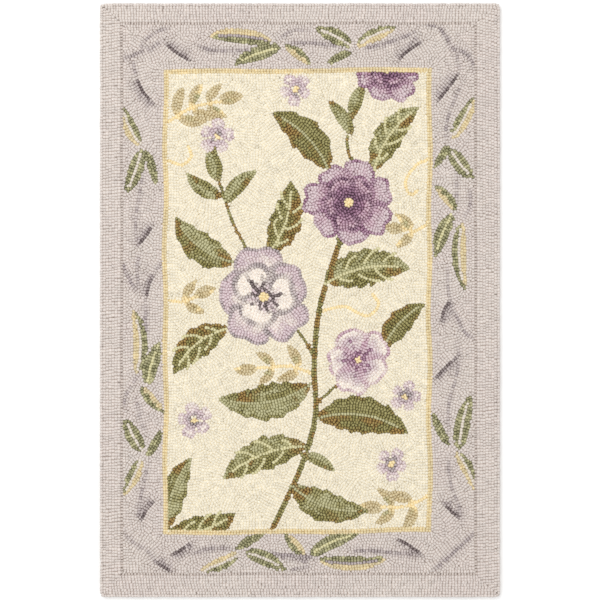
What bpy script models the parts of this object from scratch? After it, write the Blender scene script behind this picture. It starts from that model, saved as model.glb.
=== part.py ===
"""Hooked rug: one flat oblong piece, a foundation cloth with loops of yarn hooked up through it.

Units are metres and +Z is up. The rug lies face up, with the origin on the floor under its middle.
+Y runs along its length, towards the head of its design, and +X runs across it.
"""

import math

import bmesh
import bpy

# Driving dimensions
WIDTH = 0.508  # over the outermost loops
LENGTH = 0.754
FOUNDATION_THICKNESS = 0.0018  # cotton cloth, lying flat on the floor
LOOP_HEIGHT = 0.0067  # how far the loops stand above the foundation
CORNER_RADIUS = 0.0045  # the corners in plan, softened where the hem is folded twice
SHOULDER_RADIUS = 0.0040  # the outermost loops lean out and round the upper edge off
HEM_RADIUS = 0.0015  # the turned hem draws in under the outermost loops

CORNER_STEPS = 8
SHOULDER_STEPS = 6
HEM_STEPS = 3
SMOOTH_ANGLE = math.radians(40.0)

# Seen from far off the dyed yarns mix to one warm grey
YARN_COLOUR = (0.70, 0.63, 0.55, 1.0)  # linear
YARN_ROUGHNESS = 0.95
YARN_METALLIC = 0.0

THICKNESS = FOUNDATION_THICKNESS + LOOP_HEIGHT
SAME_HEIGHT = 1e-6


def clear_scene():
    """Take out whatever the scene holds."""
    for obj in list(bpy.data.objects):
        bpy.data.objects.remove(obj, do_unlink=True)


def yarn_material():
    """Matt dyed yarn."""
    material = bpy.data.materials.new("hooked_yarn")
    material.use_nodes = True
    shader = material.node_tree.nodes["Principled BSDF"]
    shader.inputs["Base Color"].default_value = YARN_COLOUR
    shader.inputs["Roughness"].default_value = YARN_ROUGHNESS
    shader.inputs["Metallic"].default_value = YARN_METALLIC
    return material


def upright_edges(mesh):
    """The four edges that join the underside to the face."""
    return [edge for edge in mesh.edges if abs(edge.verts[0].co.z - edge.verts[1].co.z) > SAME_HEIGHT]


def rim_edges(mesh, height):
    """The edges of the flat outline at this height."""
    return [
        edge
        for edge in mesh.edges
        if all(abs(vertex.co.z - height) < SAME_HEIGHT for vertex in edge.verts)
    ]


def round_off(mesh, edges, radius, steps):
    """Replace these edges by a quarter round of this radius."""
    bmesh.ops.bevel(
        mesh,
        geom=edges,
        offset=radius,
        offset_type="OFFSET",
        segments=steps,
        profile=0.5,
        affect="EDGES",
        clamp_overlap=True,
    )


def hooked_rug(collection):
    """A slab as thick as foundation and loops together, with its corners, shoulder and hem rounded."""
    mesh = bmesh.new()
    bmesh.ops.create_cube(mesh, size=1.0)
    bmesh.ops.scale(mesh, vec=(WIDTH, LENGTH, THICKNESS), verts=mesh.verts)
    bmesh.ops.translate(mesh, vec=(0.0, 0.0, THICKNESS / 2), verts=mesh.verts)
    round_off(mesh, upright_edges(mesh), CORNER_RADIUS, CORNER_STEPS)
    round_off(mesh, rim_edges(mesh, THICKNESS), SHOULDER_RADIUS, SHOULDER_STEPS)
    round_off(mesh, rim_edges(mesh, 0.0), HEM_RADIUS, HEM_STEPS)
    data = bpy.data.meshes.new("hooked_rug")
    mesh.to_mesh(data)
    mesh.free()
    data.shade_smooth()
    data.set_sharp_from_angle(angle=SMOOTH_ANGLE)
    rug = bpy.data.objects.new("hooked_rug", data)
    rug.data.materials.append(yarn_material())
    collection.objects.link(rug)
    return rug


def main():
    clear_scene()
    collection = bpy.data.collections.new("hooked_rug")
    bpy.context.scene.collection.children.link(collection)
    hooked_rug(collection)


main()
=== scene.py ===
"""Hooked rug: a foundation cloth covered with loops of dyed yarn, hooked row by row along its design.

Laid out as a Blender add-on that is run as a script. Lengths are in metres. The rug lies face up on the
floor, +X across it and +Y along it, towards the head of the design.
"""

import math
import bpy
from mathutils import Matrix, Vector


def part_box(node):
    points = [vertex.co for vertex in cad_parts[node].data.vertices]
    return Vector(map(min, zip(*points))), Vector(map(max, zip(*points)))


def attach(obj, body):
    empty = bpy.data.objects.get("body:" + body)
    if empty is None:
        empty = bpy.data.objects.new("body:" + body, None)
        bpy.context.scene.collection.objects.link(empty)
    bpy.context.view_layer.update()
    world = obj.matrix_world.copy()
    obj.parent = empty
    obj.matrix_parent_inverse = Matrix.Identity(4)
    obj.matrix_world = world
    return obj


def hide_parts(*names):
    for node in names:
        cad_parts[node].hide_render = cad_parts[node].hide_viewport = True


bl_info = {
    "name": "Hooked Rug",
    "version": (1, 0, 0),
    "blender": (4, 5, 0),
    "location": "View3D > Sidebar > Hooked Rug",
    "description": "Makes a small hooked rug, loop by loop",
    "category": "Mesh",
}

from collections import namedtuple

import bpy
import numpy as np
from mathutils import Vector

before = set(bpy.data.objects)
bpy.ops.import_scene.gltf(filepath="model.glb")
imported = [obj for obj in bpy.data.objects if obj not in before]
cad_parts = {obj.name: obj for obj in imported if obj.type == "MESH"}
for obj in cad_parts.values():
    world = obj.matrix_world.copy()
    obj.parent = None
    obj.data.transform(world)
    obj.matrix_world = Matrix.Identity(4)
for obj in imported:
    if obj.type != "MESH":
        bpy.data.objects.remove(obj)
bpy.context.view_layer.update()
RUG_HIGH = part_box("hooked_rug")[1]

MM = 0.001
HALF_WIDTH = RUG_HIGH.x
HALF_LENGTH = RUG_HIGH.y
HALF_SIZE = np.array([HALF_WIDTH, HALF_LENGTH])
RUG_TOP = RUG_HIGH.z
CORNER_RADIUS = 4.5 * MM

BODY = "root"
NODE = "hooked_rug"

CELL = 0.7 * MM  # the chart on which rows are laid out is ruled this finely
LOOPS_TO_A_PIECE = 6000
TINY = 1e-12  # keeps lengths of nothing from being divided by

# The outer band, side by side: which way the side faces, how many rows it has, the last of them the
# dark one, and how far in from the rug's edge that one lies
Side = namedtuple("Side", "name facing rows line_depth")
SIDES = (
    Side("left", (-1, 0), 8, 27.8 * MM),
    Side("right", (1, 0), 9, 31.0 * MM),
    Side("head", (0, 1), 8, 25.5 * MM),
    Side("foot", (0, -1), 9, 29.3 * MM),
)
FIRST_ROW_DEPTH = 2.0 * MM

# The gold frame between border and field is hooked by eye, so its corners are a little out of true
GOLD_CORNERS = np.array([(-170.9, 289.9), (164.2, 293.1), (164.2, -291.5), (-170.9, -295.1)]) * MM
GOLD_ROWS = 2
GOLD_ROW_WIDTH = 2.75 * MM
GOLD_CROWDED = 0.66  # no two loops of the gold rows are nearer to each other, in widths of a row

# Rows set by hand waver: by this much, over this length, and in full only this far in from the edge
WAVER = 1.0 * MM
WAVER_LENGTH = 50 * MM
WAVER_DEPTH = 70 * MM
STEPS_TO_A_SIDE = 120  # of the dark row's and the gold frame's lines


# ---------------------------------------------------------------- sizes and dyes that a user would change


def dyed(red, green, blue):
    """A colour as a dye card gives it, from 0 to 255, in the linear numbers that Blender uses."""
    card = np.array([red, green, blue]) / 255
    linear = np.where(card <= 0.04045, card / 12.92, ((card + 0.055) / 1.055) ** 2.4)
    return tuple(float(value) for value in linear)


def dye(name, description, red, green, blue):
    """A setting for one yarn's dye."""
    return bpy.props.FloatVectorProperty(
        name=name,
        description=description,
        default=dyed(red, green, blue),
        subtype="COLOR",
        size=3,
        min=0.0,
        max=1.0,
    )


def length(name, description, default):
    """A setting for one size."""
    return bpy.props.FloatProperty(
        name=name,
        description=description,
        default=default,
        min=0.0,
        unit="LENGTH",
        subtype="DISTANCE",
        precision=4,
    )


class RugSizes(bpy.types.PropertyGroup):
    """Sizes of the loops and of the cloth under them."""

    loop_spacing: length("Loop spacing", "From one loop to the next along a row", 3.75 * MM)
    row_spacing: length("Row spacing", "From one row to the next", 3.5 * MM)
    cloth: length("Cloth thickness", "Thickness of the foundation where its hem is turned", 1.8 * MM)
    hem_inset: length("Hem inset", "How far the hem stays inside the outermost loops", 1.6 * MM)
    hem_width: length("Hem width", "Width of the hem turned under", 20 * MM)


class RugDyes(bpy.types.PropertyGroup):
    """Dyes of the yarns, and the colour of the cloth."""

    band: dye("Outer band", "Outer band and most of the border's ground", 217, 208, 201)
    band_rose: dye("Outer band, rosy lot", "Second dye lot of the outer band", 216, 206, 200)
    line: dye("Dark row", "The single row between outer band and border", 210, 200, 193)
    ribbon: dye("Ribbon", "The winding ribbon in the border", 180, 169, 168)
    shading: dye("Shading", "Soft shading beside the ribbon", 187, 176, 174)
    dash: dye("Dash", "Dark strokes on the ribbon, and rays in the flowers", 132, 118, 117)
    slit: dye("Leaf slit", "Pale row along the middle of a border leaf", 222, 213, 201)
    gold: dye("Gold row", "The frame round the field, tendrils and flower hearts", 240, 221, 174)
    gold_leaf: dye("Gold leaf", "Gold halves of the border's leaves", 212, 198, 163)
    cream: dye("Cream", "The field's ground", 234, 226, 206)
    deep_green: dye("Deep green", "Darker parts of the border's leaves", 149, 146, 110)
    green: dye("Green", "The border's leaves", 165, 161, 126)
    sage: dye("Sage", "Lighter parts of leaves", 188, 184, 144)
    leaf_green: dye("Leaf green", "The field's leaves", 160, 153, 102)
    leaf_deep: dye("Deep leaf green", "Darker parts of the field's leaves", 146, 138, 84)
    olive_brown: dye("Olive brown", "Leaf bases and stalks", 162, 134, 78)
    vein: dye("Vein", "Veins of the large leaves", 214, 208, 166)
    tan: dye("Tan", "Sprays in the field", 207, 190, 150)
    lilac: dye("Lilac", "Petals", 214, 197, 200)
    pale_lilac: dye("Pale lilac", "Lightest part of the petals", 238, 229, 219)
    rose_lilac: dye("Rose lilac", "Petals of the full flowers", 206, 178, 188)
    plum: dye("Plum", "Deeper petals", 170, 132, 154)
    deep_plum: dye("Deep plum", "Hearts of the full flowers", 137, 102, 124)
    cloth: dye("Foundation", "Unbleached cotton", 226, 216, 194)


# ---------------------------------------------------------------- curves


def smooth_path(knots, pieces=10):
    """A smooth curve through given knots: between two knots it is the cubic that passes both with a
    slope of half the way from the knot before to the knot after."""
    knots = np.asarray(knots, float)
    first, last = 2 * knots[0] - knots[1], 2 * knots[-1] - knots[-2]
    p = np.vstack([first, knots, last])
    t = np.linspace(0, 1, pieces, endpoint=False)[None, :, None]
    a, b, c, d = (p[k : len(p) - 3 + k, None] for k in range(4))
    curve = b + 0.5 * t * (c - a + t * (2 * a - 5 * b + 4 * c - d + t * (3 * (b - c) + d - a)))
    return np.vstack([curve.reshape(-1, 2), knots[-1:]])


def drawn(knots):
    """The smooth curve through knots set in millimetres."""
    return smooth_path(np.array(knots) * MM)


def bowed(base, tip, bow, count=13):
    """A line from base to tip, bowed sideways as a parabola, to the left by bow times its length."""
    base, tip = np.asarray(base, float), np.asarray(tip, float)
    u = np.linspace(0, 1, count)[:, None]
    way = tip - base
    return base + u * way + 4 * bow * u * (1 - u) * np.array([-way[1], way[0]])


def midrib(leaf, count=13):
    """The middle line of a leaf whose base and tip are set in millimetres."""
    return bowed(np.array(leaf.base) * MM, np.array(leaf.tip) * MM, leaf.bow, count)


def unit(vectors):
    """The same directions, one long."""
    return vectors / np.maximum(np.linalg.norm(vectors, axis=1, keepdims=True), TINY)


def heading(angles):
    """The ways at these angles from +X, one long."""
    return np.stack([np.cos(angles), np.sin(angles)], axis=1)


def left_of(ways):
    """The ways turned a quarter to the left."""
    return np.stack([-ways[:, 1], ways[:, 0]], axis=1)


def normals(path):
    """The way to the left of the path at each of its points, one long."""
    return left_of(unit(np.gradient(path, axis=0)))


def evenly(path, spacing):
    """Points along the path, equally far apart and as near to spacing as fits, and the way it runs there."""
    step = np.diff(path, axis=0)
    lengths = np.linalg.norm(step, axis=1)
    run = np.concatenate([[0], np.cumsum(lengths)])
    count = max(1, round(run[-1] / spacing))
    at = (np.arange(count) + 0.5) * run[-1] / count
    points = np.stack([np.interp(at, run, path[:, k]) for k in (0, 1)], axis=1)
    way = step[np.clip(np.searchsorted(run, at) - 1, 0, len(step) - 1)]
    return points, np.arctan2(way[:, 1], way[:, 0])


def measured_from(path, points):
    """For each point: how far it is from the path, how far along the path it is, from 0 to 1, and
    whether it lies to the left of it, as 1 or -1."""
    start, way = path[:-1], np.diff(path, axis=0)
    lengths = np.linalg.norm(way, axis=1)
    run = np.concatenate([[0], np.cumsum(lengths)])
    offset = points[:, None] - start
    t = np.clip((offset * way).sum(2) / np.maximum(lengths**2, TINY), 0, 1)
    apart = np.linalg.norm(offset - t[:, :, None] * way, axis=2)
    nearest = apart.argmin(axis=1)
    every = np.arange(len(points))
    cross = way[nearest, 0] * offset[every, nearest, 1] - way[nearest, 1] * offset[every, nearest, 0]
    along = (run[nearest] + t[every, nearest] * lengths[nearest]) / run[-1]
    return apart[every, nearest], along, np.where(cross >= 0, 1, -1)


def inside(outline, points):
    """Whether each point lies inside the closed outline: a line from it to the right crosses the outline
    an odd number of times."""
    a, b = outline, np.roll(outline, -1, axis=0)
    x, y = points[:, :1], points[:, 1:]
    spans = (a[:, 1] > y) != (b[:, 1] > y)
    rise = np.where(b[:, 1] == a[:, 1], TINY, b[:, 1] - a[:, 1])
    crossing = a[:, 0] + (y - a[:, 1]) * (b[:, 0] - a[:, 0]) / rise
    return (spans & (x < crossing)).sum(axis=1) % 2 == 1


def drift(points, size, seed):
    """A smooth uneven value at each point, from about -1 to 1, that changes over about this size: six
    sine waves in random directions, added up and divided by 2.6."""
    chance = np.random.default_rng(seed)
    angle = chance.uniform(0, 2 * np.pi, 6)
    pitch = 2 * np.pi / (size * chance.uniform(1.3, 3.2, 6))
    waves = points @ (np.stack([np.cos(angle), np.sin(angle)]) * pitch)
    return np.sin(waves + chance.uniform(0, 2 * np.pi, 6)).sum(axis=1) / 2.6


def wavered(points):
    """Points moved smoothly by up to about one and a half times the waver: not at all at the rug's edge, and
    in full from the waver's depth inwards."""
    depth = (HALF_SIZE - np.abs(points)).min(axis=1)
    reach = WAVER * np.clip(depth / WAVER_DEPTH, 0, 1)
    sway = np.stack([drift(points, WAVER_LENGTH, 41), drift(points, WAVER_LENGTH, 42)], axis=1)
    return points + reach[:, None] * sway


def closed_frame(corners):
    """The closed line from corner to corner, in short steps and wavering."""
    corners = np.vstack([corners, corners[:1]])
    t = np.linspace(0, 1, STEPS_TO_A_SIDE, endpoint=False)[:, None]
    sides = [a + t * (b - a) for a, b in zip(corners[:-1], corners[1:])]
    return wavered(np.vstack([*sides, corners[-1:]]))


def gold_frame(outset):
    """The closed line round the field, moved outwards by this much."""
    return closed_frame(GOLD_CORNERS + outset * np.sign(GOLD_CORNERS))


def line_frame(inset):
    """The closed line of the dark row round the border, moved inwards by this much."""
    depth = {side.name: side.line_depth + inset for side in SIDES}
    left, right = depth["left"] - HALF_WIDTH, HALF_WIDTH - depth["right"]
    foot, head = depth["foot"] - HALF_LENGTH, HALF_LENGTH - depth["head"]
    return closed_frame(np.array([(left, head), (right, head), (right, foot), (left, foot)]))


# ---------------------------------------------------------------- from a drawing to rows of loops

# Where each loop stands, which way its row runs, how much room it has to each corner, and its dye
Loops = namedtuple("Loops", "at way room dye")
Motif = namedtuple("Motif", "yarn piece")
OUTSIDE = -1
GROUND = 0

# Seen from above, a loop has eight corners. These are the ways to them, the row running towards 0 degrees,
# and how far it is that way to the edge of a square cell that reaches 1 to each side
CORNER_ANGLES = np.radians([33, 62, 118, 147, 213, 242, 298, 327])
CORNERS = heading(CORNER_ANGLES)
CELL_REACH = 1 / np.abs(CORNERS).max(axis=1)
NO_LOOPS = np.zeros((0, 2))
UNEVENNESS = np.array([0.40, 0.24]) * MM  # how far a loop strays along its row and across it
LEAST_ROOM = 0.7  # a loop can be squeezed to this share of its usual size

# How rows are laid out
ECHO_REACH = 90  # so many cells away an outline is still echoed
CROWDED = 0.72  # no two loops start nearer to each other, in rows
# How empty a place has to be to get a loop of its own, in rows, and how many rounds of nudging follow
FILLING = ((0.80, 14), (0.79, 8), (0.76, 3))
CHART_MARGIN = 4 * MM
CHART_STRIP = 20 * MM  # outlines are filled in on the chart in strips this high
STEPS_AT_A_TIME = 6  # and rows so many steps of their path at a time

# How much loops resist nudges, from 0 to 1: those of the outermost row across it, and those of rows drawn
# one by one along it
EDGE_DEPTH = 0.8  # in rows
EDGE_HOLD = 0.85
DRAWN_HOLD = 0.5

# How loops nudge each other. Lengths are in loop spacings or rows
NEIGHBOUR_REACH = 1.2
LEVEL_REACH = 1.4
ELBOW_ROOM = 0.94  # between loops of rows that cross
CROSSED = 0.7  # rows cross where the cosine of the angle between them is less than this
NUDGE = 0.22
LONGEST_NUDGE = 0.3
ROOM_REACH = 1.9
PULL = 0.2  # how far a loop moves for each share of room that it has more on one side


def pairs(points, reach):
    """Every two points closer than reach. The points are sorted into square boxes as wide as reach, and
    each box is compared with itself and with four of the boxes round it."""
    box = np.floor((points - points.min(axis=0)) / reach).astype(np.int64) + 1
    width = box[:, 0].max() + 2
    key = box[:, 1] * width + box[:, 0]
    order = np.argsort(key, kind="stable")
    ranked = key[order]
    firsts, seconds = [], []
    for step in (0, 1, width - 1, width, width + 1):
        first = np.searchsorted(ranked, key + step, "left")
        last = np.searchsorted(ranked, key + step, "right")
        for k in range(int((last - first).max())):
            a = np.nonzero(first + k < last)[0]
            b = order[first[a] + k]
            near = np.linalg.norm(points[a] - points[b], axis=1) < reach
            if step == 0:
                near &= a < b
            firsts.append(a[near])
            seconds.append(b[near])
    return np.concatenate(firsts), np.concatenate(seconds)


def thinned(points, rank, reach):
    """Which points stay when, of every two closer than reach, the one with the lower rank wins."""
    a, b = pairs(points, reach)
    winner, loser = np.where(rank[a] < rank[b], (a, b), (b, a))
    waiting = np.ones(len(points), bool)
    stays = np.zeros(len(points), bool)
    while waiting.any():
        blocked = np.zeros(len(points), bool)
        blocked[loser[waiting[winner] & waiting[loser]]] = True
        chosen = waiting & ~blocked
        stays |= chosen
        waiting &= ~chosen
        waiting[loser[chosen[winner]]] = False
    return stays


def summed(index, amounts, count):
    """The amounts added up by index."""
    return np.stack([np.bincount(index, amounts[:, k], count) for k in range(amounts.shape[1])], axis=1)


def settled(points, way, spacing, row, hold, rounds):
    """Nudges loops until they stand in rows and columns. Between two loops, the way along and across their
    row is measured. In one row, those nearer than the loop spacing push each other apart along it. In
    neighbouring rows, those nearer than the row spacing push each other apart across, and the two that
    stand nearly opposite each other draw level. Where rows cross, loops push each other straight apart.
    Hold says how much each loop resists, from 0 to 1, along its row and across it."""
    points = points.copy()
    tangent = heading(way)
    normal = left_of(tangent)
    for _ in range(rounds):
        a, b = pairs(points, NEIGHBOUR_REACH * spacing)
        apart = points[b] - points[a]
        agree = (tangent[a] * tangent[b]).sum(axis=1)
        t = unit(tangent[a] + np.where(agree < 0, -1, 1)[:, None] * tangent[b])
        n = left_of(t)
        along, across = (apart * t).sum(axis=1), (apart * n).sum(axis=1)
        same = np.abs(across) < 0.5 * row
        level = ~same & (np.abs(along) < 0.5 * spacing) & (np.abs(across) < LEVEL_REACH * row)
        slide = np.where(same, np.sign(along) * np.maximum(0, spacing - np.abs(along)), 0)
        slide = np.where(level, -0.5 * along, slide)
        shift = np.where(level, np.sign(across) * np.maximum(0, row - np.abs(across)), 0)
        gap = np.linalg.norm(apart, axis=1)
        away = np.maximum(0, ELBOW_ROOM * spacing - gap) / np.maximum(gap, 1e-6)
        crossed = np.abs(agree)[:, None] < CROSSED
        push = NUDGE * np.where(crossed, away[:, None] * apart, slide[:, None] * t + shift[:, None] * n)
        total = summed(b, push, len(points)) - summed(a, push, len(points))
        run = (total * tangent).sum(axis=1, keepdims=True) * (1 - hold[:, :1])
        side = (total * normal).sum(axis=1, keepdims=True) * (1 - hold[:, 1:])
        points += np.clip(run * tangent + side * normal, -LONGEST_NUDGE * row, LONGEST_NUDGE * row)
    return points


def fitted(points, way, spacing, row, beside=NO_LOOPS, most=1.55, rounds=2):
    """How much room each loop has to its eight corners, as a share of the usual, up to most. The room ends
    at the line midway to the next loop: towards a loop at offset o, in half cells, a corner in the direction
    d may go o * o / (2 * o * d) far, and the least counts. As often as there are rounds, loops are
    then moved a little to where they have more room, and measured again. The loops beside count too but
    aren't moved. Returns the places and the room."""
    count = len(points)
    tangent = heading(way)
    normal = left_of(tangent)
    every = np.arange(count)
    for step in range(rounds + 1):
        places = np.vstack([points, beside])
        a, b = pairs(places, ROOM_REACH * max(spacing, row))
        a, b = np.concatenate([a, b]), np.concatenate([b, a])
        a, b = a[a < count], b[a < count]
        apart = places[b] - places[a]
        along, across = (apart * tangent[a]).sum(axis=1), (apart * normal[a]).sum(axis=1)
        offset = np.stack([2 * along / spacing, 2 * across / row], axis=1)
        facing = np.maximum(offset @ CORNERS.T, 1e-3)
        reach = (offset**2).sum(axis=1)[:, None] / (2 * facing * CELL_REACH)
        owner = np.concatenate([a, every])
        order = np.argsort(owner, kind="stable")
        reach = np.vstack([reach, np.full((count, len(CORNERS)), most)])[order]
        room = np.minimum.reduceat(reach, np.searchsorted(owner[order], every)).clip(LEAST_ROOM, most)
        if step < rounds:
            pull = PULL * (room - 1) @ CORNERS
            points = points + pull[:, :1] * spacing / 2 * tangent + pull[:, 1:] * row / 2 * normal
    return points, room


def distance_to_change(labels, reach):
    """How far each cell of the chart is from the nearest change of label, in cells, up to reach. The way up
    and down comes from running maxima, and the least of its square and the square of each step sideways
    gives the distance."""
    change = np.zeros(labels.shape, bool)
    across, up = labels[:, 1:] != labels[:, :-1], labels[1:] != labels[:-1]
    change[:, 1:] |= across
    change[:, :-1] |= across
    change[1:] |= up
    change[:-1] |= up
    height = labels.shape[0]
    index = np.arange(height)[:, None]
    below = np.maximum.accumulate(np.where(change, index, -height), axis=0)
    above = np.minimum.accumulate(np.where(change, index, 2 * height)[::-1], axis=0)[::-1]
    gap = np.minimum(index - below, above - index).astype(np.float32) ** 2
    best = gap.copy()
    for shift in range(1, reach + 1):
        best[:, shift:] = np.minimum(best[:, shift:], gap[:, :-shift] + shift**2)
        best[:, :-shift] = np.minimum(best[:, :-shift], gap[:, shift:] + shift**2)
    return np.sqrt(best) + 0.5


def softened(chart, times=3):
    """The chart with each cell mixed with its neighbours, one part before, two parts itself, one after."""
    for _ in range(times):
        for axis in (0, 1):
            chart = (np.roll(chart, 1, axis) + 2 * chart + np.roll(chart, -1, axis)) / 4
    return chart


def level_segments(chart, level):
    """Short segments of the line where the chart has this value, as the numbers of the grid edges where
    they start and end, and the place of each start. In every square of four cells, a segment joins the
    edge where the way round it falls past the level to the edge before, where it rises."""
    high = chart > level
    corners = [high[:-1, :-1], high[:-1, 1:], high[1:, 1:], high[1:, :-1]]
    height, width = chart.shape
    across = np.arange(height * width).reshape(height, width)
    upward = across + height * width
    edges = [across[:-1, :-1], upward[:-1, 1:], across[1:, :-1], upward[:-1, :-1]]
    falls = [corners[k] & ~corners[(k + 1) % 4] for k in range(4)]
    rises = [~corners[k] & corners[(k + 1) % 4] for k in range(4)]
    starts, ends = [], []
    for k in range(4):
        unjoined = falls[k].copy()
        for back in (1, 2, 3):
            j = (k - back) % 4
            here = unjoined & rises[j]
            starts.append(edges[k][here])
            ends.append(edges[j][here])
            unjoined &= ~rises[j]
    start, end = np.concatenate(starts), np.concatenate(ends)
    stands = start >= height * width
    cell = start - stands * height * width
    row, column = cell // width, cell % width
    here = chart[row, column]
    there = chart[row + stands, column + ~stands]
    t = (level - here) / (there - here)
    return start, end, np.stack([column + t * ~stands, row + t * stands], axis=1)


def rows_on_levels(chart, levels, spacing):
    """Loops at equal steps along every line where the chart has one of these values. The segments of all
    lines are linked in one go: in each round every segment looks twice as far ahead as before, first for
    the lowest number on its closed line, where the line is cut, then for the way left to the cut."""
    numbers, nexts, places = [], [], []
    for k, level in enumerate(levels):
        start, end, place = level_segments(chart, level)
        numbers.append(start + k * 2 * chart.size)
        nexts.append(end + k * 2 * chart.size)
        places.append(place)
    number, place = np.concatenate(numbers), np.concatenate(places)
    order = np.argsort(number)
    number, place = number[order], place[order]
    ahead = np.searchsorted(number, np.concatenate(nexts)[order])
    every = np.arange(len(number))
    rounds = int(np.ceil(np.log2(len(number)))) + 1
    lowest, jump = every, ahead
    for _ in range(rounds):
        lowest = np.minimum(lowest, lowest[jump])
        jump = jump[jump]
    cut = ahead == lowest
    way = place[ahead] - place
    left = np.where(cut, 0, np.linalg.norm(way, axis=1))
    jump = np.where(cut, every, ahead)
    for _ in range(rounds):
        left = left + left[jump]
        jump = jump[jump]
    head = lowest == every
    line = np.cumsum(head)[lowest] - 1
    total = left[head]
    base = np.concatenate([[0], np.cumsum(total + 1.0)])[:-1]
    order = np.argsort(base[line] + left)
    key = (base[line] + left)[order]
    count = np.maximum(1, np.round(total / spacing)).astype(int)
    owner = np.repeat(np.arange(len(total)), count)
    nth = np.arange(len(owner)) - np.repeat(np.cumsum(count) - count, count)
    at = base[owner] + (nth + 0.5) / count[owner] * total[owner]
    upper = np.clip(np.searchsorted(key, at), 1, len(key) - 1)
    i, j = order[upper], order[upper - 1]
    t = ((key[upper] - at) / np.maximum(key[upper] - key[upper - 1], 1e-9))[:, None]
    points = place[i] * (1 - t) + place[j] * t
    long_enough = total[owner] > 0.3 * spacing
    return points[long_enough], np.arctan2(way[i, 1], way[i, 0])[long_enough]


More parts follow.
